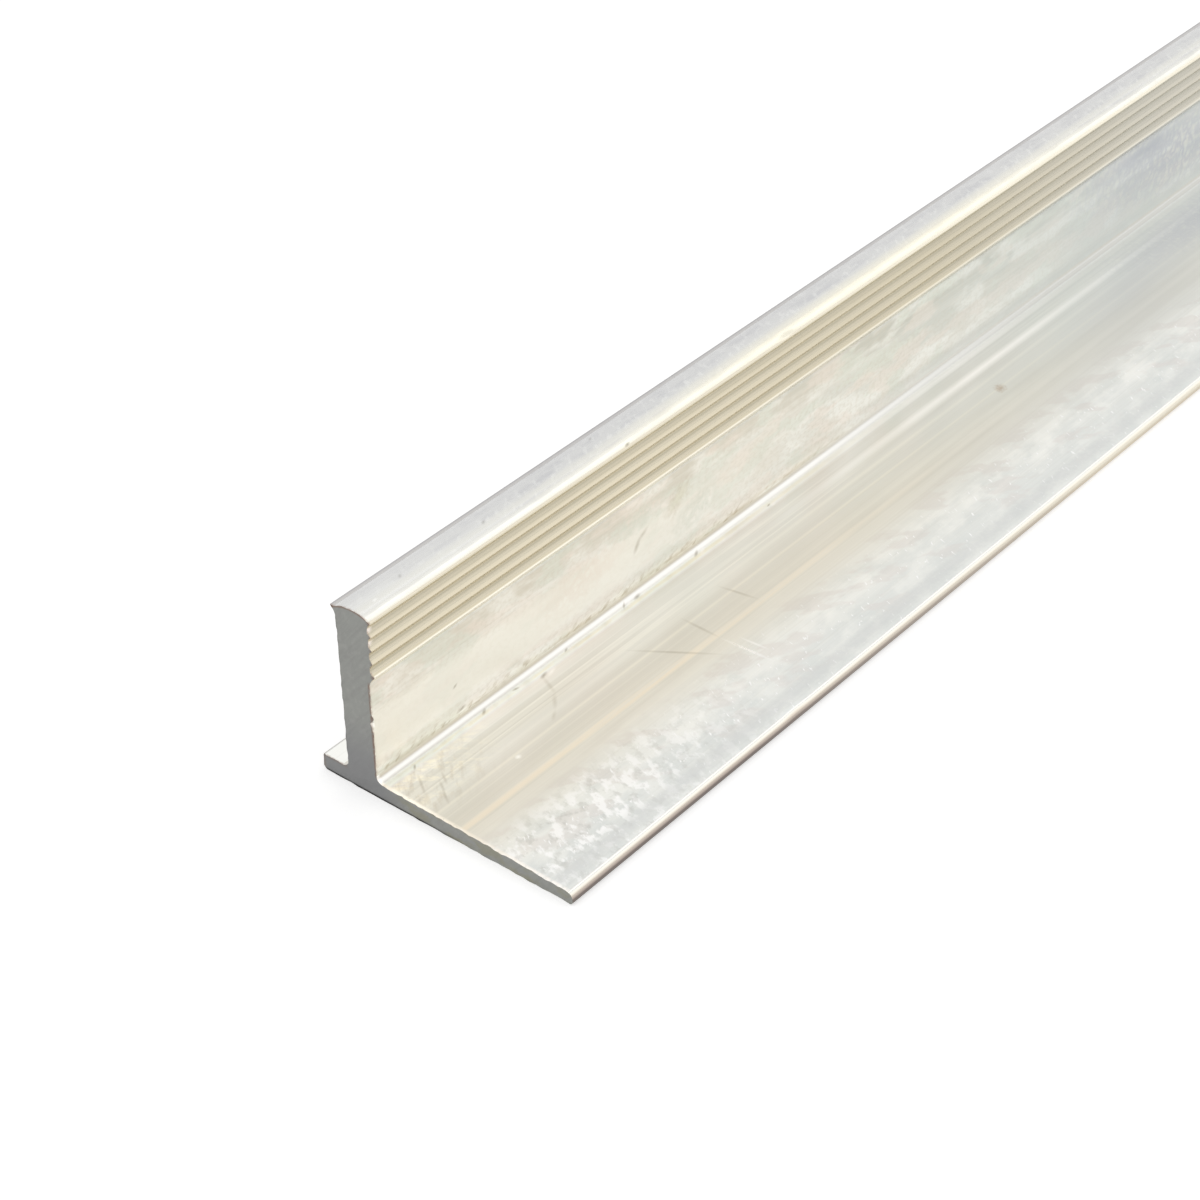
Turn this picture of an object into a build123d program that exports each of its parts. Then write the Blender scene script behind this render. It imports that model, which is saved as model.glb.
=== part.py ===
"""One length of extruded aluminium edging with an offset T section.

A wide leg and a short heel lie flat on the floor as one base plate. A web stands on the plate,
nearer the heel. Its head is crowned, with a small lip at the back, and four scalloped grooves run
along its front so that mortar or resin grips it. The stock is one solid, sawn square at both ends.

The length runs along X. The leg points to -Y, the heel to +Y and the web to +Z. The origin is the
middle of the underside. All sizes are in millimetres.
"""

import os

from build123d import *

# Stock
BAR_LENGTH = 1000.0
TOTAL_HEIGHT = 24.0

# Base plate, thickest at the web and thinning towards the toe of the leg
LEG_WIDTH = 27.0
HEEL_WIDTH = 3.8
BASE_THICKNESS = 2.1
TOE_THICKNESS = 1.5
TOE_TOP_RADIUS = 0.7
HEEL_TOP_RADIUS = 0.25
UNDER_EDGE_RADIUS = 0.5

# Web
WEB_THICKNESS = 4.2
FRONT_ROOT_RADIUS = 0.9
BACK_ROOT_RADIUS = 0.8

# Head
CROWN_RISE = 0.6
HEAD_LAND = 0.2
HEAD_EDGE_RADIUS = 0.15
LIP_OVERHANG = 0.6
LIP_LAND = 0.5
LIP_HEIGHT = 1.65
LIP_HOLLOW = 0.12

# Scalloped grooves below the head's front edge
SCALLOP_COUNT = 4
SCALLOP_PITCH = 1.7
SCALLOP_DEPTH = 0.45
RIB_PROJECTION = 0.75
RUN_OUT_HEIGHT = 1.25
RUN_OUT_RADIUS = 1.5

# Lines of the die drawing, worked out from the sizes above
toe = -(LEG_WIDTH + WEB_THICKNESS + HEEL_WIDTH) / 2
web_front = toe + LEG_WIDTH
web_back = web_front + WEB_THICKNESS
heel = web_back + HEEL_WIDTH
rib_tips = web_front - RIB_PROJECTION
lip_edge = web_back + LIP_OVERHANG
lip_land_end = lip_edge - LIP_LAND
head_edge = TOTAL_HEIGHT - CROWN_RISE
ribs_start = head_edge - HEAD_LAND
ribs_end = ribs_start - SCALLOP_COUNT * SCALLOP_PITCH
run_out_end = ribs_end - RUN_OUT_HEIGHT

# Roundings that share an edge of the plate never meet
toe_top_radius = min(TOE_TOP_RADIUS, 0.5 * TOE_THICKNESS)
under_edge_radius = min(UNDER_EDGE_RADIUS, 0.35 * TOE_THICKNESS)


def corners_at(sketch, *points):
    """The section's vertices that lie at these points of the die drawing."""
    return [sketch.vertices().sort_by_distance(Vector(*point))[0] for point in points]


with BuildPart() as aluminium_profile:
    with BuildSketch(Plane.YZ) as section:
        with BuildLine():
            # From the last rib down the web's front, round the plate and up the web's back
            Polyline(
                (rib_tips, ribs_end),
                (web_front, run_out_end),
                (web_front, BASE_THICKNESS),
                (toe, TOE_THICKNESS),
                (toe, 0),
                (heel, 0),
                (heel, BASE_THICKNESS),
                (web_back, BASE_THICKNESS),
                (web_back, head_edge - LIP_HEIGHT),
            )
            # Lip, hollow below and flat on top
            SagittaArc((web_back, head_edge - LIP_HEIGHT), (lip_edge, head_edge), LIP_HOLLOW)
            Line((lip_edge, head_edge), (lip_land_end, head_edge))
            # Crown, with both its ends at the height of the lip
            ThreePointArc(
                (lip_land_end, head_edge),
                ((lip_land_end + rib_tips) / 2, TOTAL_HEIGHT),
                (rib_tips, head_edge),
            )
            Line((rib_tips, head_edge), (rib_tips, ribs_start))
            # Scallops, each one an arc sunk between two sharp ribs
            for index in range(SCALLOP_COUNT):
                upper_rib = ribs_start - index * SCALLOP_PITCH
                lower_rib = upper_rib - SCALLOP_PITCH
                SagittaArc((rib_tips, upper_rib), (rib_tips, lower_rib), SCALLOP_DEPTH)
        make_face()
        fillet(corners_at(section, (web_front, run_out_end)), RUN_OUT_RADIUS)
        fillet(corners_at(section, (web_front, BASE_THICKNESS)), FRONT_ROOT_RADIUS)
        fillet(corners_at(section, (web_back, BASE_THICKNESS)), BACK_ROOT_RADIUS)
        fillet(corners_at(section, (toe, TOE_THICKNESS)), toe_top_radius)
        fillet(corners_at(section, (heel, BASE_THICKNESS)), HEEL_TOP_RADIUS)
        fillet(corners_at(section, (toe, 0), (heel, 0)), under_edge_radius)
        fillet(corners_at(section, (rib_tips, head_edge)), HEAD_EDGE_RADIUS)
    extrude(amount=BAR_LENGTH / 2, both=True)

aluminium_profile.part.label = "aluminium_profile"
os.makedirs("parts", exist_ok=True)
export_step(aluminium_profile.part, "parts/aluminium_profile.step")
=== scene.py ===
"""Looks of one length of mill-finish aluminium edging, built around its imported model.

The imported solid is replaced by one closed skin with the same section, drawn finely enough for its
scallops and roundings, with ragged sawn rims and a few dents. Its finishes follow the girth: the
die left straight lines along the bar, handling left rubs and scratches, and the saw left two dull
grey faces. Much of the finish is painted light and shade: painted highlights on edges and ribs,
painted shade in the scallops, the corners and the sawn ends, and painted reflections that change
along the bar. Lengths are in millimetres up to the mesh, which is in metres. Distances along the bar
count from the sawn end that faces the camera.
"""

import logging
import math
from dataclasses import dataclass, field
from enum import Enum

import bpy
import numpy as np
from mathutils import Matrix, Vector


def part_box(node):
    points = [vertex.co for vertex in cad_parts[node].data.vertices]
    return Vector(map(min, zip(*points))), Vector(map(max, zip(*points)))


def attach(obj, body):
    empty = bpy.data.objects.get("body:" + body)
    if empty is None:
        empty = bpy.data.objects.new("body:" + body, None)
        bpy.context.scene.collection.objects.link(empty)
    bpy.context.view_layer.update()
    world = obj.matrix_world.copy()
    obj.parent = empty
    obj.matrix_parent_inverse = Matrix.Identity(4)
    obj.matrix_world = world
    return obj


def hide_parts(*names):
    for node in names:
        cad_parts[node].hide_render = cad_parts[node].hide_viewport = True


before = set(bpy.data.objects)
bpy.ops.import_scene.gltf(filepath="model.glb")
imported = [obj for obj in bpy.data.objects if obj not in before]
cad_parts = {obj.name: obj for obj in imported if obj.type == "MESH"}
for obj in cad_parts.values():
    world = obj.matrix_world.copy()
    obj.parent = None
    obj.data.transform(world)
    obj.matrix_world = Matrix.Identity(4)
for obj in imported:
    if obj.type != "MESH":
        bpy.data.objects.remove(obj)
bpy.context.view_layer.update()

LOG = logging.getLogger("edging")
CAD_NODE = "aluminium_profile"
MM = 0.001
SENSOR_MM = 36.0
SHARP_DEGREES = 24.0
NOISE_ROUGHNESS = 0.55
WHITE = (1.0, 1.0, 1.0, 1.0)

# Half the bar's length, and places past its start and its end, in millimetres
HALF_LENGTH = 500.0
OPEN_START = -50.0
OPEN_END = 2000.0


class Zone(Enum):
    """Parts of the skin that were finished differently."""

    GRIP = "scalloped_grip"
    WEB = "web_front"
    LEG = "leg_top"
    EDGE = "plate_edge"
    UNDERSIDE = "underside"
    HEEL = "heel"
    BACK = "web_back"
    HEAD = "crowned_head"
    SAWN = "sawn_face"


class Across(Enum):
    """Which two object axes a finish's pattern is laid out on."""

    ALONG_AND_Y = ("X", "Y")
    ALONG_AND_Z = ("X", "Z")
    SAWN_PLANE = ("Y", "Z")


def linear(tone: str) -> tuple[float, float, float, float]:
    """Turns an sRGB hex value into a linear colour.

    Args:
        tone: Six hex digits after a hash.

    Returns:
        Red, green, blue and alpha, by the sRGB curve: a straight toe and a power of 2.4.
    """
    parts = [int(tone[i : i + 2], 16) / 255 for i in (1, 3, 5)]
    red, green, blue = (p / 12.92 if p <= 0.04045 else ((p + 0.055) / 1.055) ** 2.4 for p in parts)
    return red, green, blue, 1.0


def add_node(tree: bpy.types.NodeTree, kind: str, inputs: dict | None = None, **settings) -> bpy.types.Node:
    """Adds a shader node with its settings, values and links.

    Args:
        tree: The material's or world's tree.
        kind: The node's type name.
        inputs: By name or number, a value to set or an output to link.
        settings: Properties of the node itself.

    Returns:
        The node.
    """
    node = tree.nodes.new(kind)
    for name, value in settings.items():
        setattr(node, name, value)
    for key, value in (inputs or {}).items():
        if isinstance(value, bpy.types.NodeSocket):
            tree.links.new(value, node.inputs[key])
        else:
            node.inputs[key].default_value = value
    return node


def straight(start: np.ndarray, end: np.ndarray, step: float) -> np.ndarray:
    """Points on a straight run.

    Formula: start plus equal shares of the way to the end, the end left out.

    Args:
        start: Where the run begins.
        end: Where the next run begins.
        step: Longest gap between points.

    Returns:
        Points, one row each.
    """
    count = max(1, math.ceil(np.linalg.norm(end - start) / step))
    share = np.arange(count)[:, None] / count
    return start + share * (end - start)


def bow(start: np.ndarray, end: np.ndarray, sagitta: float, count: int) -> np.ndarray:
    """Points on an arc over a chord.

    Formula: half chord c and sagitta s give the radius (c * c + s * s) / 2s. The arc's middle
    stands s to the left of the way from start to end, or to its right where s is negative.

    Args:
        start: First end of the chord.
        end: Second end of the chord, left out of the points.
        sagitta: How far the arc's middle stands off the chord.
        count: Number of points.

    Returns:
        Points, one row each.
    """
    chord = end - start
    half = np.linalg.norm(chord) / 2
    along = chord / (2 * half)
    left = np.array([-along[1], along[0]]) * np.sign(sagitta)
    radius = (half**2 + sagitta**2) / (2 * abs(sagitta))
    centre = (start + end) / 2 + left * (abs(sagitta) - radius)
    opening = math.asin(half / radius)
    turn = (np.arange(count) / count * 2 - 1)[:, None] * opening
    return centre + radius * (np.cos(turn) * left + np.sin(turn) * along)


def rounding(
    before: np.ndarray, corner: np.ndarray, after: np.ndarray, radius: float, count: int
) -> np.ndarray:
    """Points on the arc that rounds a corner.

    Formula: the centre lies on the corner's bisector, radius / sin(half angle) from the corner. The
    two spokes to the tangent points are blended by the sines of their shares of the arc.

    Args:
        before: A point on the run into the corner.
        corner: The corner.
        after: A point on the run out of it.
        radius: Radius of the arc.
        count: Number of points.

    Returns:
        Points from one tangent point to the other, both kept.
    """
    into = (before - corner) / np.linalg.norm(before - corner)
    out = (after - corner) / np.linalg.norm(after - corner)
    half = math.acos(float(into @ out)) / 2
    centre = corner + (into + out) / np.linalg.norm(into + out) * radius / math.sin(half)
    first = corner + into * radius / math.tan(half) - centre
    last = corner + out * radius / math.tan(half) - centre
    sweep = math.pi - 2 * half
    share = np.linspace(0, 1, count)[:, None]
    return centre + (np.sin((1 - share) * sweep) * first + np.sin(share * sweep) * last) / math.sin(sweep)


@dataclass(frozen=True)
class ProfileSection:
    """The die's opening: a base plate with a web that has a crowned head and a scalloped grip.

    Across the bar is the first coordinate, from the toe to the heel, and up is the second.
    """

    total_height: float = 24.0
    leg_width: float = 27.0
    web_thickness: float = 4.2
    heel_width: float = 3.8
    base_thickness: float = 2.1
    toe_thickness: float = 1.5
    toe_top_radius: float = 0.7
    heel_top_radius: float = 0.25
    under_edge_radius: float = 0.5
    front_root_radius: float = 0.9
    back_root_radius: float = 0.8
    crown_rise: float = 0.6
    head_land: float = 0.2
    head_edge_radius: float = 0.15
    lip_overhang: float = 0.6
    lip_land: float = 0.5
    lip_height: float = 1.65
    lip_hollow: float = 0.12
    scallop_count: int = 4
    scallop_pitch: float = 1.7
    scallop_depth: float = 0.45
    rib_projection: float = 0.75
    rib_tip_radius: float = 0.1
    run_out_height: float = 1.25
    run_out_radius: float = 1.5
    fine_step: float = 0.12
    plain_step: float = 0.45
    merge_gap: float = 0.02

    def outline(self) -> tuple[np.ndarray, np.ndarray]:
        """Draws the section once round, with the metal on the left.

        Formula: straight runs, arcs over chords and roundings, end to end, from the last rib down
        the web's front, round the plate, up the web's back and over the crown to the scallops.

        Returns:
            The points, and the place in Zone's list of the stretch that starts at each point.
        """
        toe = -(self.leg_width + self.web_thickness + self.heel_width) / 2
        front = toe + self.leg_width
        back = front + self.web_thickness
        heel = back + self.heel_width
        tips = front - self.rib_projection
        edge = self.total_height - self.crown_rise
        grip_top = edge - self.head_land
        grip_end = grip_top - self.scallop_count * self.scallop_pitch
        run_out = np.array([front, grip_end - self.run_out_height])
        last_rib = np.array([tips, grip_end])
        root = np.array([front, self.base_thickness])
        toe_top = np.array([toe, self.toe_thickness])
        toe_foot = np.array([toe, 0.0])
        heel_foot = np.array([heel, 0.0])
        heel_top = np.array([heel, self.base_thickness])
        back_root = np.array([back, self.base_thickness])
        lip_foot = np.array([back, edge - self.lip_height])
        lip_edge = np.array([back + self.lip_overhang, edge])
        land_end = lip_edge - [self.lip_land, 0.0]
        head_front = np.array([tips, edge])
        ribs = [np.array([tips, grip_top - i * self.scallop_pitch]) for i in range(self.scallop_count + 1)]

        # The last value of each is its number of points.
        foot = rounding(last_rib, run_out, root, self.run_out_radius, 9)
        front_root = rounding(run_out, root, toe_top, self.front_root_radius, 19)
        toe_round = rounding(root, toe_top, toe_foot, self.toe_top_radius, 17)
        toe_under = rounding(toe_top, toe_foot, heel_foot, self.under_edge_radius, 11)
        heel_under = rounding(toe_foot, heel_foot, heel_top, self.under_edge_radius, 11)
        heel_round = rounding(heel_foot, heel_top, back_root, self.heel_top_radius, 9)
        inner_root = rounding(heel_top, back_root, lip_foot, self.back_root_radius, 15)
        crown = bow(land_end, head_front, -self.crown_rise, 57)
        head_round = rounding(crown[-1], head_front, ribs[0], self.head_edge_radius, 7)
        crown = crown[crown[:, 0] > head_round[0, 0] + self.merge_gap]

        tip_rounds = []
        arcs = [bow(upper, lower, self.scallop_depth, 19) for upper, lower in zip(ribs[:-1], ribs[1:])]
        for arc, rib, out in zip(arcs, ribs[1:], [*(arc[1] for arc in arcs[1:]), foot[0]]):
            tip_rounds.append(rounding(arc[-1], rib, out, self.rib_tip_radius, 7))
        # A scallop's own points stop this far from a rib, where the rib's rounding takes over.
        clear = 1.6 * self.rib_tip_radius

        runs = [
            (Zone.GRIP, straight(tip_rounds[-1][-1], foot[0], self.fine_step)),
            (Zone.WEB, foot[:-1]),
            (Zone.WEB, straight(foot[-1], front_root[0], self.fine_step)),
            (Zone.LEG, front_root[:-1]),
            (Zone.LEG, straight(front_root[-1], toe_round[0], self.fine_step)),
            (Zone.EDGE, toe_round[:-1]),
            (Zone.EDGE, straight(toe_round[-1], toe_under[0], self.fine_step)),
            (Zone.EDGE, toe_under[:-1]),
            (Zone.UNDERSIDE, straight(toe_under[-1], heel_under[0], 2 * self.plain_step)),
            (Zone.EDGE, heel_under[:-1]),
            (Zone.EDGE, straight(heel_under[-1], heel_round[0], self.plain_step)),
            (Zone.HEEL, heel_round[:-1]),
            (Zone.HEEL, straight(heel_round[-1], inner_root[0], self.plain_step)),
            (Zone.BACK, inner_root[:-1]),
            (Zone.BACK, straight(inner_root[-1], lip_foot, self.plain_step)),
            (Zone.BACK, bow(lip_foot, lip_edge, self.lip_hollow, 12)),
            (Zone.HEAD, straight(lip_edge, land_end, self.fine_step)),
            (Zone.HEAD, crown),
            (Zone.HEAD, head_round[:-1]),
            (Zone.GRIP, head_round[-1:]),
        ]
        for index, (arc, tip) in enumerate(zip(arcs, tip_rounds)):
            from_upper = np.linalg.norm(arc - ribs[index], axis=1)
            from_lower = np.linalg.norm(arc - ribs[index + 1], axis=1)
            kept = (from_lower > clear) & ((from_upper > clear) | (index == 0))
            runs.append((Zone.GRIP, arc[kept]))
            runs.append((Zone.GRIP, tip[:-1] if index == self.scallop_count - 1 else tip))
        points = np.concatenate([run for _, run in runs])
        order = list(Zone)
        zones = np.repeat([order.index(zone) for zone, _ in runs], [len(run) for _, run in runs])
        return points, zones


@dataclass(frozen=True)
class Dent:
    """A knock in the metal: where it is, how far it spreads and how deep it goes."""

    along: float
    across: float
    up: float
    length: float
    girth: float
    depth: float


@dataclass(frozen=True)
class RimFlaw:
    """A nick or burr on the sawn rim: where it is, its half width, and how far it stands out."""

    across: float
    up: float
    half_width: float
    out: float


@dataclass
class ExtrudedBar:
    """One closed skin: the section carried along the bar, with two ragged sawn rims.

    Each rim wanders inwards in a coarse and a fine line, and steps back from the saw's plane.
    """

    length: float
    lowest: np.ndarray
    highest: np.ndarray
    section: ProfileSection
    dents: tuple[Dent, ...]
    flaws: tuple[RimFlaw, ...]
    saw_depth: float = 0.1
    rim_inset: float = 0.04
    rim_rings: tuple[float, ...] = (0.35, 1.0, 2.5, 5.0)
    station_gap: float = 8.0
    station_count: int = 108
    dent_span: float = 2.2
    dent_rings: int = 9
    coarse_gap: float = 0.9
    coarse_depth: float = 0.03
    fine_gap: float = 0.3
    fine_depth: float = 0.02
    step_gap: float = 0.5
    step_depth: float = 0.15
    fine_step_depth: float = 0.04
    fewest_knots: int = 4
    seed: int = 7

    def stations(self) -> np.ndarray:
        """Places the rings: close behind each rim, evenly along the bar, closer at the dents.

        Returns:
            Distances from the near end, in order.
        """
        even = np.linspace(self.station_gap, self.length - self.station_gap, self.station_count)
        behind_rim = np.array(self.rim_rings)
        spread = np.linspace(-self.dent_span, self.dent_span, self.dent_rings)
        around = [dent.along + dent.length * spread for dent in self.dents]
        every = np.concatenate([even, behind_rim, self.length - behind_rim, *around])
        return np.unique(np.round(every, 3))

    def normals(self, points: np.ndarray) -> np.ndarray:
        """Finds the outward direction at each point of the outline.

        Formula: the chord between a point's two neighbours, turned a quarter to the right.

        Args:
            points: The closed outline.

        Returns:
            Unit vectors, one row each.
        """
        chord = np.roll(points, -1, axis=0) - np.roll(points, 1, axis=0)
        outward = np.stack([chord[:, 1], -chord[:, 0]], axis=1)
        return outward / np.linalg.norm(outward, axis=1, keepdims=True)

    def wander(self, girth: np.ndarray, gap: float, draw: np.random.Generator) -> np.ndarray:
        """Makes a closed, uneven line round the rim.

        Formula: random heights from 0 to 1 at equal gaps round the girth, joined by straight lines.

        Args:
            girth: Distance of each point round the outline, the whole girth being its last value.
            gap: Gap between the random heights.
            draw: Random source.

        Returns:
            One height for each point.
        """
        knots = max(self.fewest_knots, round(girth[-1] / gap))
        heights = draw.uniform(0, 1, knots)
        places = np.linspace(0, girth[-1], knots + 1)
        return np.interp(girth[:-1], places, np.append(heights, heights[0]))

    def rim(
        self, points: np.ndarray, outward: np.ndarray, draw: np.random.Generator
    ) -> tuple[np.ndarray, np.ndarray]:
        """Works out the ragged edge that the saw left.

        Formula: each point moves along its normal by two uneven lines of different pitch, plus a
        bell-shaped push at each named flaw, and steps back from the end by a third uneven line.

        Args:
            points: The closed outline.
            outward: Its normals.
            draw: Random source.

        Returns:
            The moved outline, and how far each of its points stands back from the end.
        """
        steps = np.linalg.norm(np.roll(points, -1, axis=0) - points, axis=1)
        girth = np.append(0, np.cumsum(steps))
        coarse = self.wander(girth, self.coarse_gap, draw)
        fine = self.wander(girth, self.fine_gap, draw)
        back = self.step_depth * self.wander(girth, self.step_gap, draw) + self.fine_step_depth * fine
        out = -self.coarse_depth * coarse - self.fine_depth * fine
        for flaw in self.flaws:
            away = np.linalg.norm(points - [flaw.across, flaw.up], axis=1)
            out = out + flaw.out * np.exp(-((away / flaw.half_width) ** 2))
        moved = points + outward * out[:, None]
        return np.clip(moved, self.lowest[1:], self.highest[1:]), back

    def grid(self) -> tuple[np.ndarray, np.ndarray]:
        """Carries the outline along the bar.

        Formula: ring by ring, the outline minus each dent's bell (in distance along and round the
        bar) times its normal. A rim and a slightly smaller ring in the saw's plane close each end.

        Returns:
            Ring by ring, the points in millimetres with the near end at 0, and the outline's zones.
        """
        points, zones = self.section.outline()
        outward = self.normals(points)
        along = self.stations()
        sunk = np.zeros((len(along), len(points)))
        for dent in self.dents:
            off_along = ((along - dent.along) / dent.length) ** 2
            off_round = np.sum((points - [dent.across, dent.up]) ** 2, axis=1) / dent.girth**2
            sunk += dent.depth * np.exp(-off_along)[:, None] * np.exp(-off_round)[None, :]
        body = points[None] - sunk[..., None] * outward[None]
        body = np.concatenate([np.broadcast_to(along[:, None, None], (*sunk.shape, 1)), body], axis=2)
        draw = np.random.default_rng(self.seed)
        ends = []
        for plane, back_sign in ((0.0, 1.0), (self.length, -1.0)):
            edge, back = self.rim(points, outward, draw)
            inner = edge - outward * self.rim_inset
            edge = np.column_stack([plane + back_sign * back, edge])
            inner = np.column_stack([np.full(len(inner), plane + back_sign * self.saw_depth), inner])
            ends.append((inner, edge))
        rings = [ends[0][0][None], ends[0][1][None], body, ends[1][1][None], ends[1][0][None]]
        return np.concatenate(rings), zones

    def build(self, finishes: dict[Zone, bpy.types.Material]) -> bpy.types.Object:
        """Makes the skin's mesh and gives each face its zone's finish.

        Args:
            finishes: A material for each zone.

        Returns:
            The bar, at the origin, with its place in its mesh.
        """
        rings, zones = self.grid()
        count, girth, _ = rings.shape
        vertices = (rings.reshape(-1, 3) + [-self.length / 2, 0, 0]) * MM
        ring = np.arange(count - 1)[:, None]
        place = np.arange(girth)[None, :]
        after = (place + 1) % girth
        near = ring * girth
        far = near + girth
        quads = np.stack([near + place, near + after, far + after, far + place], axis=2).reshape(-1, 4)
        near_cap = list(range(girth))[::-1]
        far_cap = list(range((count - 1) * girth, count * girth))
        mesh = bpy.data.meshes.new("profile_bar")
        mesh.from_pydata(vertices.tolist(), [], [*quads.tolist(), near_cap, far_cap])

        for zone in Zone:
            mesh.materials.append(finishes[zone])
        sawn = list(Zone).index(Zone.SAWN)
        indices = np.tile(zones, (count - 1, 1))
        indices[[0, -1]] = sawn
        indices = np.append(indices.ravel(), [sawn] * 2).astype(np.int32)
        mesh.polygons.foreach_set("material_index", indices)
        smooth = np.ones(len(indices), dtype=bool)
        smooth[-2:] = False
        mesh.polygons.foreach_set("use_smooth", smooth)
        mesh.set_sharp_from_angle(angle=math.radians(SHARP_DEGREES))
        mesh.validate()
        mesh.update()
        bar = bpy.data.objects.new("profile_bar", mesh)
        bpy.context.scene.collection.objects.link(bar)
        return bar


@dataclass(frozen=True)
class Fade:
    """A stretch of full strength with a ramp at each side, in millimetres.

    With both ends, the distance is counted from the nearer sawn end.
    """

    start: float
    full_from: float
    full_to: float
    end: float
    both_ends: bool = False

    def share(self, tree: bpy.types.NodeTree, place: bpy.types.NodeSocket) -> bpy.types.NodeSocket:
        """Adds the nodes that fade a pattern in and out along one coordinate.

        Args:
            tree: The material's tree.
            place: The coordinate, in millimetres.

        Returns:
            A share from 0 to 1.
        """
        if self.both_ends:
            folded = {0: place, 1: HALF_LENGTH}
            place = add_node(tree, "ShaderNodeMath", folded, operation="PINGPONG").outputs[0]
        rise = add_node(tree, "ShaderNodeMapRange", {"Value": place, 1: self.start, 2: self.full_from})
        fall = add_node(tree, "ShaderNodeMapRange", {"Value": place, 1: self.end, 2: self.full_to})
        both = {0: rise.outputs[0], 1: fall.outputs[0]}
        return add_node(tree, "ShaderNodeMath", both, operation="MULTIPLY").outputs[0]


def up_to(full_to: float, end: float, both_ends: bool = False) -> Fade:
    """A stretch from the start, at full strength up to one place and gone at the next."""
    return Fade(OPEN_START - 1, OPEN_START, full_to, end, both_ends)


def beyond(start: float, full_from: float) -> Fade:
    """A stretch to the end, beginning at one place and at full strength from the next."""
    return Fade(start, full_from, OPEN_END, OPEN_END + 1)


@dataclass(frozen=True)
class Pattern:
    """Something that lies on the bare metal: its tone, its strength and how it changes the surface.

    Roughness is added to the metal's own, and relief is a height in millimetres. The reach limits
    the pattern along the bar, and the band limits it across.
    """

    tone: str
    amount: float
    rough: float = field(default=0.0, kw_only=True)
    relief: float = field(default=0.0, kw_only=True)
    reach: Fade | None = field(default=None, kw_only=True)
    band: Fade | None = field(default=None, kw_only=True)

    def shape(self, tree: bpy.types.NodeTree, place: bpy.types.Node) -> bpy.types.NodeSocket | float:
        """Gives the pattern's own form, here an even wash."""
        return 1.0

    def mask(self, tree: bpy.types.NodeTree, place: bpy.types.Node) -> bpy.types.NodeSocket:
        """Adds the nodes that say how strongly the pattern shows at each point.

        Args:
            tree: The material's tree.
            place: Combine XYZ node that holds the place along and across, in millimetres.

        Returns:
            A share from 0 to 1.
        """
        share = self.shape(tree, place)
        for fade, socket in ((self.reach, place.inputs[0]), (self.band, place.inputs[1])):
            if fade:
                part = fade.share(tree, socket.links[0].from_socket)
                share = add_node(tree, "ShaderNodeMath", {0: share, 1: part}, operation="MULTIPLY").outputs[0]
        return share

    def laid_out(
        self, tree: bpy.types.NodeTree, place: bpy.types.Node, centre: tuple, size: tuple, turn: float
    ) -> bpy.types.NodeSocket:
        """Adds the node that centres, turns and sizes the pattern on the metal.

        Args:
            tree: The material's tree.
            place: Combine XYZ node that holds the place.
            centre: Where the pattern's middle goes, along and across.
            size: One unit of the pattern, along and across, before it is turned.
            turn: Degrees from the bar's length.

        Returns:
            The pattern's own coordinates.
        """
        inputs = {
            "Vector": place.outputs[0],
            "Location": (*centre, 0),
            "Rotation": (0, 0, math.radians(turn)),
            "Scale": (*size, 1),
        }
        return add_node(tree, "ShaderNodeMapping", inputs, vector_type="TEXTURE").outputs[0]


@dataclass(frozen=True)
class Grain(Pattern):
    """Noise whose features are so long and so wide, shown between two of its levels."""

    along: float
    across: float
    low: float = 0.4
    high: float = 0.65
    turn: float = field(default=0.0, kw_only=True)
    detail: float = field(default=3.0, kw_only=True)
    shift: float = field(default=0.0, kw_only=True)

    def shape(self, tree: bpy.types.NodeTree, place: bpy.types.Node) -> bpy.types.NodeSocket:
        """Adds the noise, from its own place for each shift, and cuts it to its two levels."""
        start = (self.shift, self.shift * 0.37)
        own = self.laid_out(tree, place, start, (self.along, self.across), self.turn)
        inputs = {"Vector": own, "Scale": 1.0, "Detail": self.detail, "Roughness": NOISE_ROUGHNESS}
        noise = add_node(tree, "ShaderNodeTexNoise", inputs, noise_dimensions="2D")
        levels = {"Value": noise.outputs[0], 1: self.low, 2: self.high}
        return add_node(tree, "ShaderNodeMapRange", levels).outputs[0]


@dataclass(frozen=True)
class Mark(Pattern):
    """One long, thin oval with tapered ends: die lines, scratches, streaks, smudges, and lines of
    painted highlight and painted shade.

    A ragged mark's outline wanders by about so many millimetres.
    """

    along: float
    across: float
    half_length: float
    half_width: float
    turn: float = 0.0
    ragged: float = field(default=0.0, kw_only=True)

    def shape(self, tree: bpy.types.NodeTree, place: bpy.types.Node) -> bpy.types.NodeSocket:
        """Adds a ball gradient, flattened to the oval: 1 on its middle and 0 at its rim."""
        size = (self.half_length, self.half_width)
        if self.ragged:
            pitch = self.ragged / 0.7
            swing = 4 * self.ragged
            inputs = {"Vector": place.outputs[0], "Scale": 1 / pitch, "Detail": 4.0}
            noise = add_node(tree, "ShaderNodeTexNoise", inputs, noise_dimensions="2D")
            centred = {0: noise.outputs[1], 1: (0.5, 0.5, 0.5)}
            wander = add_node(tree, "ShaderNodeVectorMath", centred, operation="SUBTRACT")
            moved = {0: wander.outputs[0], 1: (swing,) * 3, 2: place.outputs[0]}
            place = add_node(tree, "ShaderNodeVectorMath", moved, operation="MULTIPLY_ADD")
        own = self.laid_out(tree, place, (self.along, self.across), size, self.turn)
        return add_node(tree, "ShaderNodeTexGradient", {"Vector": own}, gradient_type="SPHERICAL").outputs[1]


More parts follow.
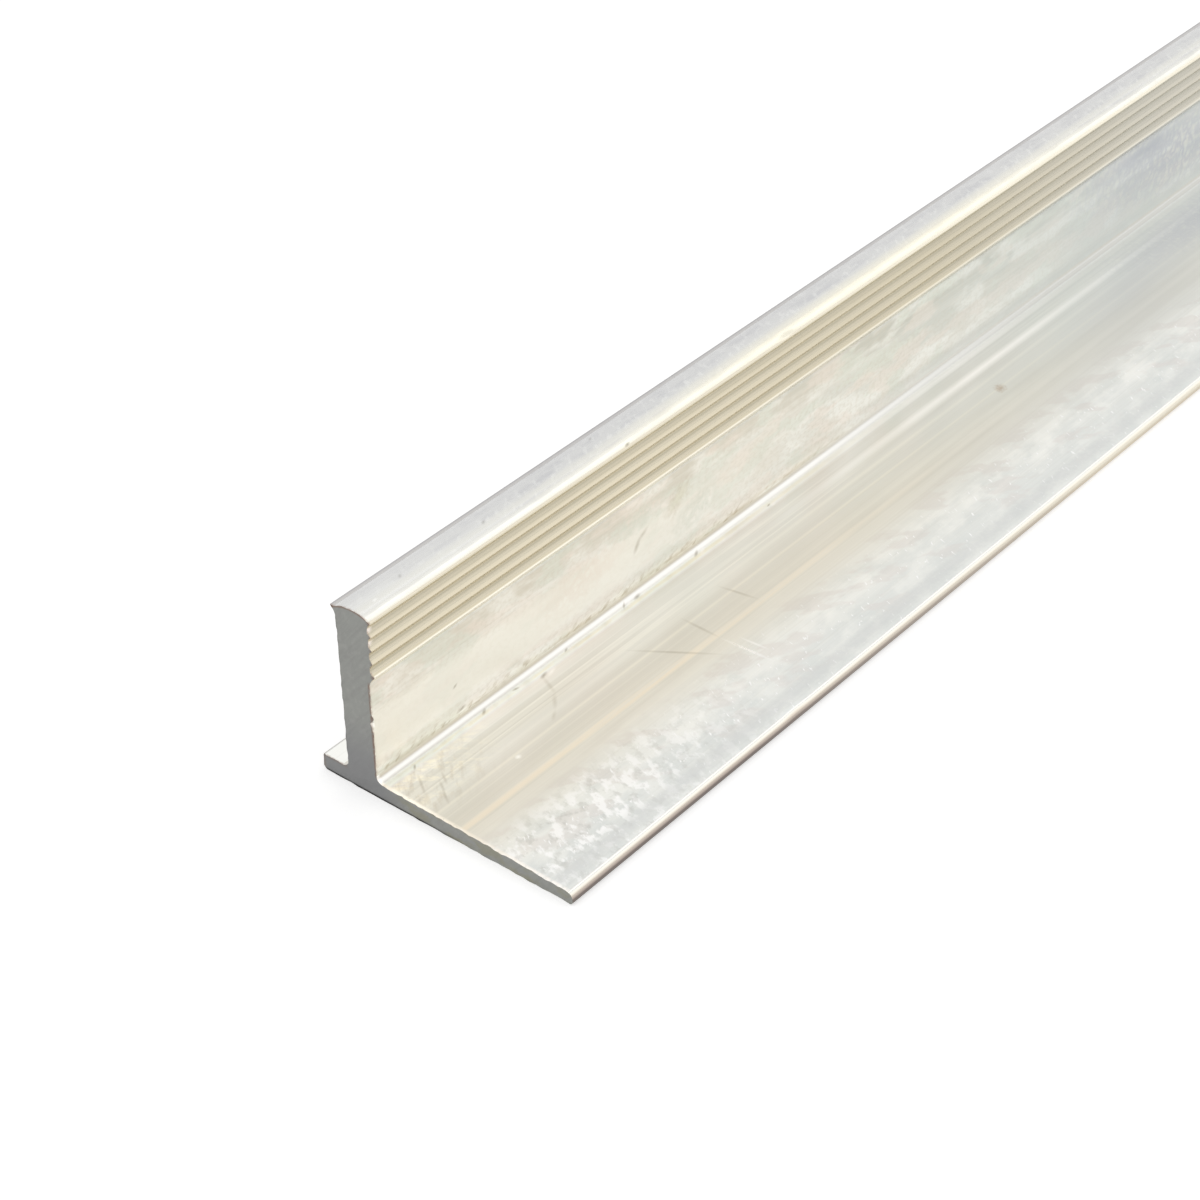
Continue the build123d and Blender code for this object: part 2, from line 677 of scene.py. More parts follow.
@dataclass(frozen=True)
class Comb(Pattern):
    """Straight lines along the bar at an even pitch across it."""

    first: float
    pitch: float
    half_width: float

    def shape(self, tree: bpy.types.NodeTree, place: bpy.types.Node) -> bpy.types.NodeSocket:
        """Adds the distance to the nearest line, by folding, and turns it into a share."""
        across = place.inputs[1].links[0].from_socket
        off_first = add_node(tree, "ShaderNodeMath", {0: across, 1: self.first}, operation="SUBTRACT")
        folded = {0: off_first.outputs[0], 1: self.pitch / 2}
        away = add_node(tree, "ShaderNodeMath", folded, operation="PINGPONG")
        levels = {"Value": away.outputs[0], 1: self.half_width, 2: 0.0}
        return add_node(tree, "ShaderNodeMapRange", levels, interpolation_type="SMOOTHSTEP").outputs[0]


@dataclass(frozen=True)
class Arc(Pattern):
    """The outermost part of a disc, such as the burr that the saw left under the crown."""

    along: float
    across: float
    radius: float
    width: float

    def shape(self, tree: bpy.types.NodeTree, place: bpy.types.Node) -> bpy.types.NodeSocket:
        """Adds the distance from the disc's centre, from none at its inner limit to full at its rim."""
        ends = {0: place.outputs[0], 1: (self.along, self.across, 0)}
        away = add_node(tree, "ShaderNodeVectorMath", ends, operation="DISTANCE").outputs["Value"]
        full_from = self.radius - 0.4 * self.width
        levels = {"Value": away, 1: self.radius - self.width, 2: full_from}
        return add_node(tree, "ShaderNodeMapRange", levels).outputs[0]


@dataclass(frozen=True)
class MetalFinish:
    """Bare aluminium: its tone, how dull it is, and the patterns that lie on it in order."""

    name: str
    tone: str
    roughness: float
    axes: Across
    patterns: tuple[Pattern, ...]

    def build(self) -> bpy.types.Material:
        """Makes the material, its colour, roughness and relief summed over the patterns.

        Returns:
            The material.
        """
        material = bpy.data.materials.new(self.name)
        material.use_nodes = True
        tree = material.node_tree
        tree.nodes.clear()
        coordinate = add_node(tree, "ShaderNodeTexCoord")
        in_mm = add_node(
            tree,
            "ShaderNodeVectorMath",
            {0: coordinate.outputs["Object"], 1: (1 / MM,) * 3, 2: (HALF_LENGTH, 0, 0)},
            operation="MULTIPLY_ADD",
        )
        axis = add_node(tree, "ShaderNodeSeparateXYZ", {0: in_mm.outputs[0]})
        first, second = self.axes.value
        place = add_node(tree, "ShaderNodeCombineXYZ", {0: axis.outputs[first], 1: axis.outputs[second]})
        colour = linear(self.tone)
        rough = self.roughness
        height = 0.0
        for pattern in self.patterns:
            mask = pattern.mask(tree, place)
            amount = add_node(tree, "ShaderNodeMath", {0: mask, 1: pattern.amount}, operation="MULTIPLY")
            tones = {0: amount.outputs[0], 6: colour, 7: linear(pattern.tone)}
            colour = add_node(tree, "ShaderNodeMix", tones, data_type="RGBA").outputs[2]
            if pattern.rough:
                change = {0: mask, 1: pattern.rough, 2: rough}
                rough = add_node(tree, "ShaderNodeMath", change, operation="MULTIPLY_ADD").outputs[0]
            if pattern.relief:
                change = {0: mask, 1: pattern.relief, 2: height}
                height = add_node(tree, "ShaderNodeMath", change, operation="MULTIPLY_ADD").outputs[0]
        surface = {"Metallic": 1.0, "Base Color": colour, "Roughness": rough}
        if isinstance(height, bpy.types.NodeSocket):
            bump = add_node(tree, "ShaderNodeBump", {"Strength": 1.0, "Distance": MM, "Height": height})
            surface["Normal"] = bump.outputs[0]
        shader = add_node(tree, "ShaderNodeBsdfPrincipled", surface)
        add_node(tree, "ShaderNodeOutputMaterial", {"Surface": shader.outputs[0]})
        return material


# Die lines are a few hundredths of a millimetre wide. They are drawn coarser, to be seen.
DIE_LINES = Grain("#fbfaf5", 0.3, 420, 1.1, 0.45, 0.7, shift=13, relief=0.003)
HAIR_LINES = Grain("#b9b4a6", 0.1, 160, 0.3, 0.5, 0.75, shift=31, relief=0.001)

# The saw left a fine burr, drawn as dull brown grain along each rim. The leg's rim also gets
# painted glints.
DULL_RIM = Grain("#a38f84", 0.7, 0.6, 0.5, 0.3, 0.55, shift=9, reach=up_to(0.1, 0.3, True))
RIM_PAINTED_GLINT = Grain("#fffaf4", 1.0, 0.7, 0.5, 0.2, 0.4, shift=9, reach=up_to(0.3, 0.6, True))

# The crown was polished by the die and is handled most. The eye sees cool silver with a faint
# mottling, painted shade over its back, and a warm painted highlight along its front.
HEAD = MetalFinish("mill_aluminium_head", "#dcdcda", 0.24, Across.ALONG_AND_Y, (
    # Cool clouds and small pale rubs
    Grain("#c3c3c6", 0.6, 5, 1.3, 0.45, 0.66, shift=5, detail=6, rough=0.06),
    Grain("#f4f4f0", 0.5, 1.6, 0.7, 0.52, 0.7, shift=44, detail=5, turn=48),
    Pattern("#f3f3ef", 0.6, reach=up_to(4, 30)),
    HAIR_LINES,
    # Painted light and shade in bands along the crown, from the grey painted shade on the back land to
    # the painted highlight on the front edge, with a painted reflection on the rounding below it
    Pattern("#cbcbcb", 0.6, band=beyond(10.5, 13)),
    Pattern("#bdb9b5", 0.6, band=beyond(13.6, 13.9)),
    Pattern("#e4e3dc", 0.7, band=Fade(10.05, 10.3, 10.7, 11.3)),
    Pattern("#cdccc6", 0.9, band=Fade(9.3, 9.6, 9.85, 10.2)),
    Pattern("#e6e4da", 1.0, band=Fade(8.9, 9.02, 9.35, 9.6)),
    Pattern("#ebe5cf", 0.6, band=Fade(8.9, 9.02, 9.9, 10.9), reach=Fade(25, 70, 105, 145)),
    Pattern("#dfd7c4", 1.0, band=Fade(8.5, 8.6, 8.9, 9.05)),
    Pattern("#f0ead9", 0.8, band=Fade(8.5, 8.75, 8.95, 9.1), reach=beyond(60, 110)),
    # Specks and nicks, and a grey line along the lip's edge
    Mark("#8d8672", 0.8, 41.6, 9.05, 0.6, 0.2, 10),
    Mark("#8f8d96", 0.5, 300, 14.2, 1200, 0.16),
    Mark("#a5a39d", 0.6, 20.1, 11.1, 0.5, 0.25, 30),
    Mark("#a5a39d", 0.6, 39.6, 12.7, 0.5, 0.25, 30),
    Mark("#fafaf6", 0.8, 2.9, 10.6, 0.5, 0.25, 10),
    Mark("#a5a39d", 0.5, 7.5, 11.4, 0.5, 0.3, 40),
    DULL_RIM,
))

# The scallops' flanks mirror one another, so that their grey turns to straw, painted here as a
# straw tone. The eye sees golden brown grooves of painted shade, a cream painted highlight under
# each rib and a pale run-out with a painted highlight.
GRIP = MetalFinish("mill_aluminium_grip", "#cec6b1", 0.26, Across.ALONG_AND_Z, (
    Grain("#c6bca2", 0.3, 220, 0.6, 0.45, 0.7, shift=3),
    # Painted light on the lower part of the lower scallops, and darker farther off
    Comb("#dad2bd", 0.7, 20.2, 1.7, 0.3, band=Fade(16, 16.4, 20.5, 20.8)),
    Pattern("#b5ae9a", 0.5, reach=beyond(50, 150)),
    # Painted shade in the middle of each scallop, a painted highlight under each rib, and a line of
    # painted shade just above each rib farther off
    Comb("#b8b19e", 0.65, 20.58, 1.7, 0.26),
    Comb("#ece0c9", 1.0, 21.28, 1.7, 0.45),
    Comb("#fff8e4", 0.9, 21.22, 1.7, 0.24),
    Comb("#b8b19d", 0.5, 21.66, 1.7, 0.24, reach=beyond(40, 110)),
    # A darker line just above the last rib, and lighter at the top of the first scallop
    Pattern("#c4bca6", 0.6, band=Fade(16.42, 16.5, 16.62, 16.72)),
    Pattern("#e2d9c2", 0.9, band=beyond(22.6, 22.85)),
    # A painted highlight on the run-out below the last rib, duller and greyer farther off
    Pattern("#fffaec", 1.0, band=up_to(16.4, 16.55)),
    Pattern("#dad4c2", 0.8, band=up_to(16.5, 16.6), reach=beyond(40, 110)),
    Pattern("#c9cac8", 0.4, reach=beyond(100, 150)),
    # Glints where the saw left the scallops
    Mark("#fff4ec", 1.0, 0.2, 22.35, 0.7, 0.5),
    Mark("#fff4ec", 1.0, 0.2, 20.7, 0.7, 0.5),
    DULL_RIM,
))

# The web's front is sheltered between the head and the leg, and lubricant dried on it. The eye
# sees warm cream with faint clouds, a browner foot, and cooler grey farther off. The warm cream is
# a painted reflection of warm surroundings, the browner foot painted shade in the corner, and the
# cooler grey a painted reflection.
WEB = MetalFinish("mill_aluminium_web", "#fdfbf5", 0.28, Across.ALONG_AND_Z, (
    # Painted light near the sawn end, painted shade under the head, and painted reflection, darker and
    # cooler, farther off
    Pattern("#fffdf2", 0.8, reach=up_to(12, 30), band=Fade(4.4, 5.6, 12, 14)),
    Pattern("#dcd6c8", 0.9, band=Fade(10.5, 13.6, 14.9, 15.3)),
    Pattern("#c2bfb2", 0.9, band=Fade(11, 14, 15, 15.3), reach=beyond(60, 120)),
    Pattern("#d3d1c4", 0.6, reach=beyond(20, 110)),
    Pattern("#cbcdc5", 0.7, reach=beyond(60, 120), band=beyond(6, 11)),
    # Clouds of cream, white, green and peach, and a fine speckle
    Grain("#e9e2d6", 0.45, 14, 4.0, 0.44, 0.62, shift=8, detail=3),
    Grain("#fffef8", 0.6, 9, 3.2, 0.48, 0.64, shift=71, detail=3),
    Grain("#e3e6da", 0.6, 9, 4.0, 0.52, 0.6, shift=133, detail=3),
    Grain("#f5e9de", 0.45, 9, 3.6, 0.52, 0.62, shift=211, detail=3),
    Grain("#d6cfc0", 0.3, 0.7, 0.5, 0.45, 0.7, shift=301, detail=1),
    DIE_LINES,
    HAIR_LINES,
    # More painted light near the sawn end
    Pattern("#fffcf2", 0.75, reach=up_to(40, 75), band=Fade(4.4, 5.6, 10, 12)),
    # Painted shade along the foot: a brown, broken line that turns grey farther off
    Pattern("#d9d0bf", 0.4, band=Fade(2.7, 3.1, 3.9, 5.2), reach=up_to(45, 95)),
    Grain("#b5a484", 0.4, 7, 0.4, 0.25, 0.6, shift=2, rough=0.1,
          band=Fade(2.6, 2.9, 3.2, 3.7), reach=up_to(65, 100)),
    Grain("#a3906f", 0.45, 1.5, 0.6, 0.52, 0.72, turn=28, shift=17, detail=2,
          band=Fade(2.9, 3.0, 3.4, 4.5), reach=up_to(60, 95)),
    Pattern("#c6c6c0", 0.6, band=Fade(2.6, 2.9, 3.8, 4.8), reach=beyond(75, 105)),
    Pattern("#d5dad9", 0.6, reach=beyond(90, 140)),
    # Dried stains, a hooked scratch and specks
    Mark("#dbdfd2", 0.6, 44.2, 12.2, 6.5, 2.2, 5, ragged=0.9),
    Mark("#dde0d4", 0.6, 54.5, 8.3, 6.0, 3.0, 20, ragged=1.0),
    Mark("#efe2d5", 0.5, 34.0, 9.5, 10.0, 3.4, 10, ragged=1.0),
    Mark("#c4baa2", 0.6, 51.0, 11.2, 3.4, 1.8, 35, ragged=0.6),
    Mark("#eceada", 0.9, 51.2, 11.2, 2.5, 1.1, 35, ragged=0.5),
    Mark("#a89d88", 0.55, 43.6, 8.5, 1.2, 0.5, 60),
    Mark("#a89d88", 0.4, 44.7, 9.6, 1.3, 0.45, 30),
    Mark("#8e8069", 0.7, 13.5, 3.7, 0.9, 0.3, 10),
    Mark("#9c917b", 0.6, 12.7, 7.3, 0.5, 0.25, 30),
    # Lavender-grey patches farther off, painted reflection of something darker
    Mark("#bfc1ca", 0.7, 164, 10.5, 36, 8, -8, ragged=1.2),
    Mark("#afb3bf", 0.5, 152, 13.5, 16, 2.2),
    DULL_RIM,
))

OUTER_LEG = up_to(-8.5, -5)

# Short slanting scratches beside the saw cut: along and across
DRAG_MARKS = ((3.2, 6.2), (2.5, 5.2), (4.0, 3.8), (3.0, 2.4), (5.2, 4.6))

# Pits in the root: along, across, size and turn
PITS = (
    (53.7, 8.86, 0.9, 25),
    (42.8, 8.9, 1.0, 10),
    (40.5, 8.95, 0.7, 35),
    (30.1, 8.8, 0.6, 20),
    (25.1, 7.8, 1.1, 15),
    (21.3, 8.6, 0.8, -10),
    (16.1, 8.65, 0.9, 30),
    (67.0, 8.3, 0.6, 15),
    (4.5, 8.2, 0.7, 40),
)


def pit(along: float, across: float, size: float, turn: float) -> tuple[Mark, Mark]:
    """A glint on the far side of a pit, and the dark pit."""
    glint = Mark("#ffffff", 0.8, along + size, across - 0.25, size, 0.3, turn)
    return glint, Mark("#8d8472", 0.65, along, across, 0.8 * size, 0.28 * size, turn)


# The leg's top was dragged by the die near the web and rubbed by stacking farther out. The eye
# sees straight bands of painted light and shade, bright lines, a painted highlight along the root
# with a line of painted shade above it, and cool grey with white mottling.
LEG = MetalFinish("mill_aluminium_leg", "#ecebe7", 0.3, Across.ALONG_AND_Y, (
    # Painted light and shade in bands along the leg, darker towards the web
    Pattern("#dededb", 1.0, band=Fade(-2, 4, 7.8, 8.1)),
    Pattern("#f0f1ee", 1.0, band=up_to(-8, -4)),
    Pattern("#e4e6e3", 1.0, band=up_to(-12.2, -10)),
    Pattern("#efedea", 0.8, band=Fade(6.4, 7.0, 8.0, 8.2), reach=up_to(24, 40)),
    Pattern("#c8c5bc", 0.5, band=Fade(3.2, 4.4, 6.0, 6.6), reach=up_to(24, 42)),
    Pattern("#d1cec8", 0.45, band=Fade(-2.2, -1.2, 1.6, 3.6), reach=up_to(45, 85)),
    DIE_LINES,
    HAIR_LINES,
    Grain("#d8d6d1", 0.35, 36, 2.0, 0.45, 0.65, shift=153, detail=2, band=Fade(-7, -4, 7, 8)),
    Grain("#f6f5f0", 0.4, 60, 0.8, 0.52, 0.66, shift=177, detail=2, band=Fade(2.5, 4, 7, 8)),
    # Mottling of the outer half, with white flakes by the saw cut
    Grain("#d6dad8", 0.4, 8, 3.6, 0.46, 0.62, shift=19, detail=4, band=OUTER_LEG),
    Grain("#fafaf6", 0.38, 5, 2.6, 0.48, 0.66, turn=15, shift=77, detail=4, rough=0.05,
          band=OUTER_LEG),
    Grain("#dcd5d1", 0.35, 8, 3.6, 0.52, 0.6, turn=-25, shift=311, detail=3,
          band=Fade(-16, -14, -6, -4)),
    Grain("#ffffff", 0.8, 2.2, 1.5, 0.5, 0.6, turn=70, shift=57, detail=5, rough=0.08,
          band=OUTER_LEG, reach=up_to(14, 42)),
    Grain("#bcbcb6", 0.4, 1.6, 1.2, 0.54, 0.68, turn=70, shift=91, detail=3,
          band=OUTER_LEG, reach=up_to(14, 42)),
    Grain("#ffffff", 0.9, 1.3, 0.45, 0.69, 0.76, turn=62, shift=157, detail=2,
          band=OUTER_LEG),
    # Scuffs between the root and the middle, beside the saw cut
    Grain("#fffbee", 0.8, 1.8, 0.8, 0.45, 0.62, turn=-40, shift=23, detail=4,
          band=Fade(6.2, 7.2, 8.6, 9), reach=up_to(8, 16)),
    Grain("#fff8e4", 0.4, 2.0, 1.0, 0.5, 0.66, turn=-40, shift=223, detail=4,
          band=Fade(2, 4, 7.2, 8), reach=up_to(7, 14)),
    Grain("#b9ae9f", 0.4, 3.2, 0.9, 0.48, 0.74, turn=50, shift=5, detail=3,
          band=Fade(0, 3, 8.0, 8.6), reach=up_to(6, 14)),
    # Long die lines, one of them peach
    Mark("#fbf9f2", 0.5, 90, 3.5, 60, 0.45),
    Mark("#f6f3ea", 0.5, 300, 1.3, 900, 0.3),
    Mark("#f7f5f1", 0.6, 200, -2.4, 500, 0.5),
    Grain("#f9efe0", 0.6, 16, 0.6, 0.25, 0.5, shift=61, detail=2,
          band=Fade(-3.0, -2.65, -2.3, -1.85), reach=up_to(35, 90)),
    # Painted shade near the toe's edge; cooler grey painted reflection on the inner leg farther off
    Mark("#cccccf", 0.45, 300, -15.2, 900, 1.0, ragged=0.5),
    Pattern("#d6d8d5", 0.4, band=Fade(-17.2, -16.2, -14.6, -13.4)),
    Pattern("#dfe3e3", 0.5, reach=beyond(70, 135), band=beyond(-9, -5)),
    # A white line along the leg, and a painted highlight along the root, both farther off
    Mark("#ffffff", 1.0, 110, 5.65, 50, 0.85),
    Mark("#ffffff", 1.0, 104, 8.4, 36, 0.6),
    # The root: a painted highlight along its foot, broken by specks, a line of painted shade above it,
    # and painted shade where it turns up, straw near the saw cut and grey farther off
    Pattern("#f4f8ff", 0.4, band=Fade(7.7, 7.85, 8.1, 8.2), reach=up_to(60, 110)),
    Pattern("#f9ffff", 1.0, band=Fade(7.9, 8.15, 8.75, 8.95), reach=up_to(40, 100)),
    Grain("#fffbe6", 0.4, 3.2, 0.8, 0.4, 0.58, shift=37, detail=4,
          band=Fade(8.15, 8.25, 8.6, 8.8), reach=up_to(55, 90)),
    Mark("#9b9384", 0.3, 5, 8.93, 45, 0.28),
    Pattern("#b3b3ad", 0.7, band=Fade(8.85, 9.05, 9.3, 9.42), reach=beyond(75, 130)),
    Pattern("#d6d4cc", 0.8, band=beyond(9.34, 9.46), reach=beyond(75, 110)),
    Pattern("#cdc1aa", 0.7, band=beyond(9.34, 9.46), reach=up_to(60, 110)),
    # Scratches and knocks
    # A lavender-grey patch farther off, painted reflection of something darker
    Mark("#c6c8d0", 0.6, 166, 3.2, 32, 5, -6, ragged=0.8),
    Mark("#ffffff", 1.0, 43.15, -6.7, 3.9, 0.32, -86, rough=-0.05),
    Mark("#ffffff", 0.9, 44.55, -6.6, 2.1, 0.26, -85),
    Mark("#a39c8c", 0.4, 42.9, -0.2, 3.0, 0.3, 90),
    Mark("#a09989", 0.4, 37.5, -0.7, 6.1, 0.28, -54),
    Mark("#a39c8c", 0.4, 50.9, 0.5, 2.9, 0.3, -79),
    Mark("#aaa395", 0.35, 24.2, 6.3, 1.9, 0.36, 66),
    Mark("#aaa395", 0.35, 22.4, 3.9, 1.6, 0.36, 42),
    Mark("#aaa395", 0.3, 20.5, 2.4, 1.1, 0.3, 32),
    Mark("#ffffff", 1.0, 12.8, 0.83, 0.5, 0.4),
    Mark("#b39c86", 0.7, 106.2, 1.2, 1.2, 0.9, 30, ragged=0.25),
    *(Mark("#9f9689", 0.4, *place, 1.3, 0.24, 58) for place in DRAG_MARKS),
    *(mark for place in PITS for mark in pit(*place)),
    # Painted glints along the sawn rim
    RIM_PAINTED_GLINT,
))

# The plate's rounded edges are worn smooth by handling. The eye sees a glint on top, then painted
# shade darker towards the bottom: straw below the glint, and a dark painted shadow where the metal
# turns under, strongest near the saw cut.
EDGE = MetalFinish("mill_aluminium_edge", "#e8e7e1", 0.24, Across.ALONG_AND_Z, (
    Pattern("#e8e2d2", 1.0, band=up_to(1.22, 1.42)),
    Pattern("#ccc2af", 1.0, band=up_to(0.72, 1.12)),
    Pattern("#bdb0a6", 1.0, band=up_to(1.08, 1.36), reach=up_to(30, 100)),
    Pattern("#786e68", 1.0, band=up_to(0.76, 1.06), reach=up_to(30, 100)),
    Pattern("#51473e", 0.8, band=up_to(0.3, 0.5), reach=up_to(10, 100)),
))

# The underside was dulled by the run-out table. The eye sees an even, soft grey with die lines.
UNDERSIDE = MetalFinish("mill_aluminium_underside", "#dddbd4", 0.42, Across.ALONG_AND_Y, (
    DIE_LINES,
    HAIR_LINES,
))

# The heel's top is as the die left it. The eye sees a pale strip, with painted shade along its
# outer edge where it rounds over.
HEEL = MetalFinish("mill_aluminium_heel", "#f7f7f2", 0.34, Across.ALONG_AND_Y, (
    DIE_LINES,
    HAIR_LINES,
    Pattern("#8d8883", 0.7, band=beyond(17.1, 17.35)),
    DULL_RIM,
))

# The web's back was scuffed by stacking, in one slanting direction. The eye sees pale cream with
# silver clouds and faint cross rubs.
BACK = MetalFinish("mill_aluminium_back", "#e4e1d6", 0.36, Across.ALONG_AND_Z, (
    DIE_LINES,
    HAIR_LINES,
    Grain("#fdfcf8", 0.14, 4.5, 1.1, 0.5, 0.72, turn=67, shift=57, detail=4),
    Grain("#cfcdc8", 0.5, 26, 4, 0.45, 0.68, shift=91),
    DULL_RIM,
))

# The blade's teeth tore the sawn ends into fine slanting scores. The eye sees dull, dark grey,
# partly the sawn metal's own and partly painted shade on ends turned from the light, with a brown
# burr along the head and the web's front.
BURR = "#8a766a"
SAWN = MetalFinish("sawn_aluminium", "#9b9c98", 0.62, Across.SAWN_PLANE, (
    # The teeth's scores, and a change of tone from the leg to the web
    Grain("#908f8d", 0.4, 5, 0.5, 0.42, 0.66, turn=-52, shift=3, relief=0.004),
    Grain("#a8a8a4", 0.35, 1.2, 0.8, 0.5, 0.7, turn=-52, shift=29, detail=5, relief=0.003),
    Grain("#98957f", 0.5, 3.0, 1.2, 0.45, 0.6, shift=47, detail=4, reach=Fade(-18, -17, 5, 9)),
    Pattern("#89898b", 0.7, reach=beyond(5, 9), band=up_to(4, 10)),
    # Burr under the crown, down the web's front, and on the heel
    Arc(BURR, 0.85, 11.275, 18.387, 5.63, 0.32, band=beyond(22.6, 22.9)),
    Grain(BURR, 0.9, 0.9, 0.7, 0.3, 0.5, shift=71,
          reach=Fade(8, 8.4, 9.62, 9.86), band=Fade(2.4, 3, 15, 15.6)),
    Pattern("#8b817a", 0.7, reach=beyond(13.7, 14.2), band=Fade(1.72, 1.95, 3, 4)),
    Pattern("#8b817a", 0.6, reach=beyond(17.0, 17.3), band=up_to(3, 4)),
    # Burr at the lip and at the rib tips
    Mark(BURR, 0.9, 14.2, 23.3, 0.5, 0.4),
    Mark(BURR, 1.0, 8.75, 23.25, 0.6, 0.5),
    *(Mark(BURR, 0.9, 8.75, tip, 0.5, 0.4) for tip in (21.45, 19.75, 18.05)),
    Mark(BURR, 1.0, 8.75, 16.35, 0.6, 0.5),
    # The shadowed foot
    Pattern("#242220", 0.9, band=up_to(0.12, 0.36), reach=beyond(-4, 3)),
))

FINISHES: dict[Zone, MetalFinish] = {
    Zone.HEAD: HEAD,
    Zone.GRIP: GRIP,
    Zone.WEB: WEB,
    Zone.LEG: LEG,
    Zone.EDGE: EDGE,
    Zone.UNDERSIDE: UNDERSIDE,
    Zone.HEEL: HEEL,
    Zone.BACK: BACK,
    Zone.SAWN: SAWN,
}


@dataclass(frozen=True)
class Softbox:
    """A soft lamp: its place and aim in metres, its size, its power in watts and its colour."""

    name: str
    place: tuple[float, float, float]
    aim: tuple[float, float, float]
    width: float
    depth: float
    power: float
    tone: str

    def hang(self) -> None:
        """Puts the lamp in the scene, its long side along the bar where it can be."""
        light = bpy.data.lights.new(self.name, "AREA")
        light.shape = "RECTANGLE"
        light.size = self.width
        light.size_y = self.depth
        light.energy = self.power
        light.color = linear(self.tone)[:3]
        lamp = bpy.data.objects.new(self.name, light)
        away = (Vector(self.place) - Vector(self.aim)).normalized()
        side = Vector((1, 0, 0)) - away * away.x
        side.normalize()
        up = away.cross(side)
        turned = Matrix((side, up, away)).transposed().to_4x4()
        lamp.matrix_world = Matrix.Translation(self.place) @ turned
        lamp.visible_camera = False
        bpy.context.scene.collection.objects.link(lamp)


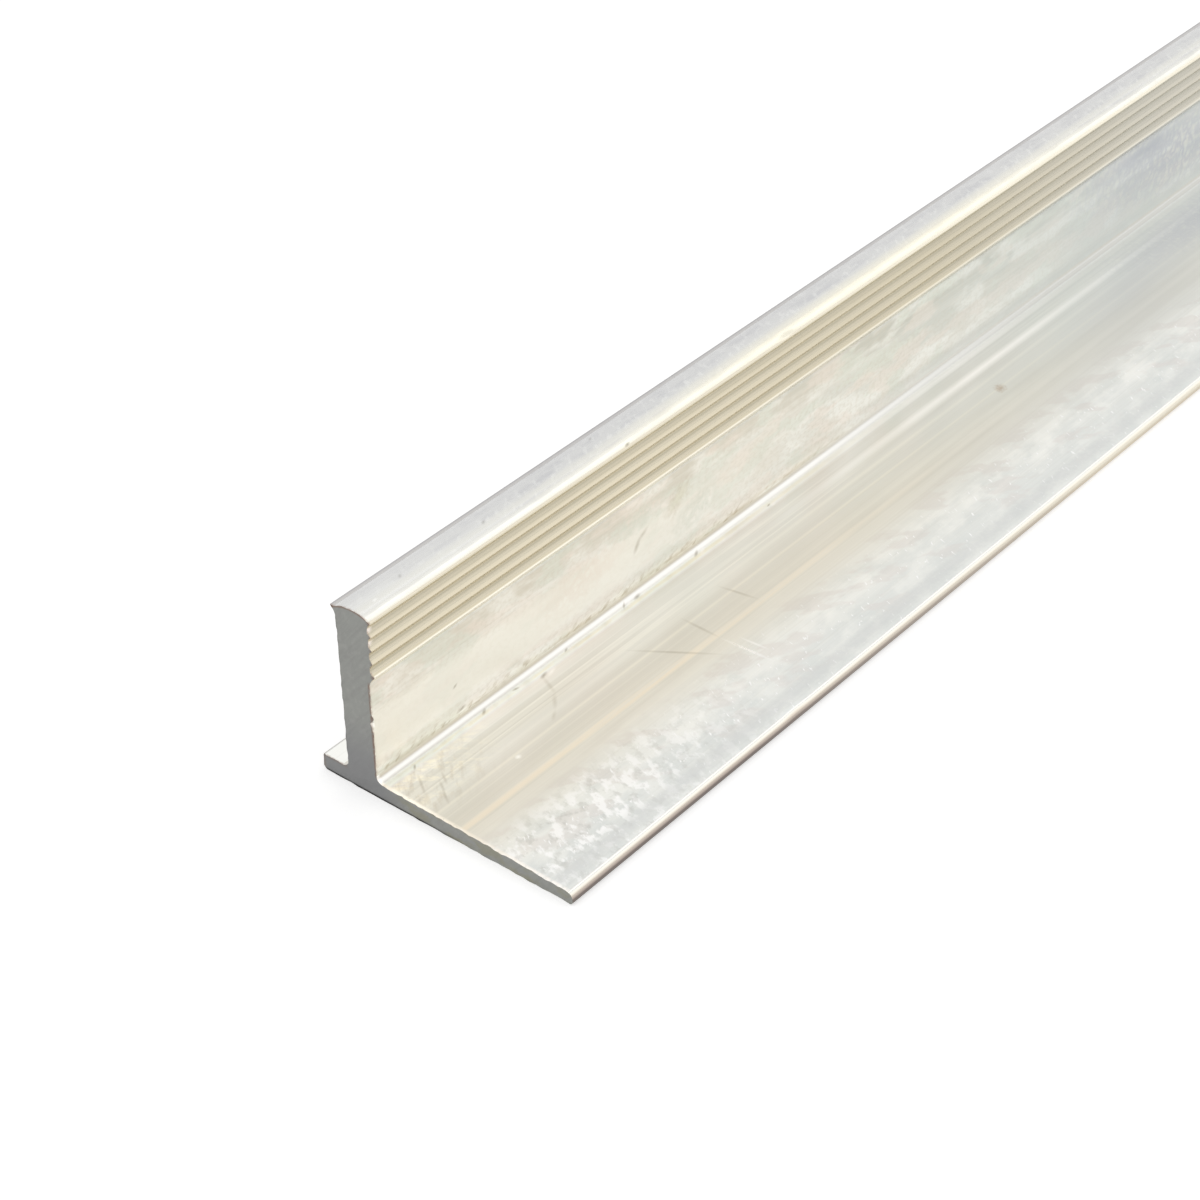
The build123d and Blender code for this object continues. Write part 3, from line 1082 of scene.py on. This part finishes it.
@dataclass(frozen=True)
class Studio:
    """A plain pale table under even white light, seen from the photograph's camera."""

    softboxes: tuple[Softbox, ...]
    floor_half_width: float = 30.0
    floor_tone: str = "#e2e2e2"
    floor_fill: float = 0.52
    world_for_dull: float = 0.62
    world_for_gloss: float = 1.0
    camera_place: tuple[float, float, float] = (-0.66240, -0.16056, 0.19777)
    camera_aim: tuple[float, float, float] = (0.6125758, 0.52255464, -0.59303249)
    camera_roll: float = -1.2307
    focal_pixels: float = 2882.63
    frame_pixels: float = 1200.0

    def seen_or_mirrored(self, tree: bpy.types.NodeTree) -> bpy.types.NodeSocket:
        """Adds the nodes that single out rays from the camera and from gloss or glass.

        Args:
            tree: The tree to add them to.

        Returns:
            1 for such a ray and 0 for any other.
        """
        path = add_node(tree, "ShaderNodeLightPath")
        either = add_node(
            tree,
            "ShaderNodeMath",
            {0: path.outputs["Is Camera Ray"], 1: path.outputs["Is Glossy Ray"]},
            operation="MAXIMUM",
        )
        any_of = {0: either.outputs[0], 1: path.outputs["Is Transmission Ray"]}
        return add_node(tree, "ShaderNodeMath", any_of, operation="MAXIMUM").outputs[0]

    def lay_floor(self) -> bpy.types.Object:
        """Lays the table: a dull pale card that takes the bar's shadow and shows white.

        Returns:
            The floor.
        """
        half = self.floor_half_width
        mesh = bpy.data.meshes.new("table")
        corners = [(-half, -half, 0), (half, -half, 0), (half, half, 0), (-half, half, 0)]
        mesh.from_pydata(corners, [], [(0, 1, 2, 3)])
        floor = bpy.data.objects.new("table", mesh)
        bpy.context.scene.collection.objects.link(floor)
        material = bpy.data.materials.new("pale_card")
        material.use_nodes = True
        tree = material.node_tree
        tree.nodes.clear()
        card = add_node(tree, "ShaderNodeBsdfDiffuse", {"Color": linear(self.floor_tone)})
        seen = self.seen_or_mirrored(tree)
        strength = add_node(tree, "ShaderNodeMath", {0: seen, 1: self.floor_fill}, operation="MULTIPLY")
        glow = add_node(tree, "ShaderNodeEmission", {"Color": WHITE, "Strength": strength.outputs[0]})
        both = add_node(tree, "ShaderNodeAddShader", {0: card.outputs[0], 1: glow.outputs[0]})
        add_node(tree, "ShaderNodeOutputMaterial", {"Surface": both.outputs[0]})
        mesh.materials.append(material)
        return floor

    def light(self) -> None:
        """Hangs the lamps and gives the world its even white."""
        for softbox in self.softboxes:
            softbox.hang()
        world = bpy.data.worlds.new("white_studio")
        world.use_nodes = True
        tree = world.node_tree
        tree.nodes.clear()
        seen = self.seen_or_mirrored(tree)
        levels = {"Value": seen, 3: self.world_for_dull, 4: self.world_for_gloss}
        strength = add_node(tree, "ShaderNodeMapRange", levels)
        glow = add_node(tree, "ShaderNodeBackground", {"Color": WHITE, "Strength": strength.outputs[0]})
        add_node(tree, "ShaderNodeOutputWorld", {"Surface": glow.outputs[0]})
        bpy.context.scene.world = world

    def set_camera(self) -> None:
        """Places the camera at the photograph's viewing angle.

        Formula: the level right is the aim crossed with up. Right and up are then both turned by
        the roll, and the sensor's width over the focal length is the frame's over its own.
        """
        aim = Vector(self.camera_aim).normalized()
        level = aim.cross(Vector((0, 0, 1))).normalized()
        upright = level.cross(aim)
        roll = math.radians(self.camera_roll)
        right = math.cos(roll) * level + math.sin(roll) * upright
        up = right.cross(aim)
        data = bpy.data.cameras.new("camera")
        data.sensor_width = SENSOR_MM
        data.lens = SENSOR_MM * self.focal_pixels / self.frame_pixels
        camera = bpy.data.objects.new("camera", data)
        turned = Matrix((right, up, -aim)).transposed().to_4x4()
        camera.matrix_world = Matrix.Translation(self.camera_place) @ turned
        bpy.context.scene.collection.objects.link(camera)
        bpy.context.scene.camera = camera


def main() -> None:
    """Builds the bar and the studio, in order, and reports each piece."""
    logging.basicConfig(level=logging.INFO)
    bpy.context.scene.view_settings.view_transform = "Standard"
    lowest, highest = (np.array(corner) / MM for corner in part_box(CAD_NODE))
    bar = ExtrudedBar(
        length=float(highest[0] - lowest[0]),
        lowest=lowest,
        highest=highest,
        section=ProfileSection(),
        dents=(
            Dent(38.0, -17.3, 1.3, 1.6, 0.5, 0.10),
            Dent(71.0, 9.0, 23.5, 1.2, 0.5, 0.08),
        ),
        flaws=(
            RimFlaw(9.5, 10.7, 0.35, 0.22),
            RimFlaw(9.5, 9.9, 0.3, -0.3),
            RimFlaw(9.5, 8.6, 0.35, 0.15),
            RimFlaw(8.75, 16.4, 0.3, 0.12),
        ),
    ).build({zone: finish.build() for zone, finish in FINISHES.items()})
    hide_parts(CAD_NODE)
    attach(bar, "root")
    LOG.info("%s: %d faces", bar.name, len(bar.data.polygons))

    studio = Studio(
        softboxes=(
            Softbox("overhead_strip", (0.2, 0.14, 1.1), (0.2, 0.0, 0.0), 2.4, 0.36, 1.5, "#ffffff"),
            Softbox("warm_side", (0.4, -0.95, 1.0), (0.1, 0.0, 0.0), 2.6, 1.4, 3.0, "#fffaf2"),
        ),
    )
    floor = studio.lay_floor()
    studio.light()
    studio.set_camera()
    LOG.info("%s: stage", floor.name)


if __name__ == "__main__":
    main()
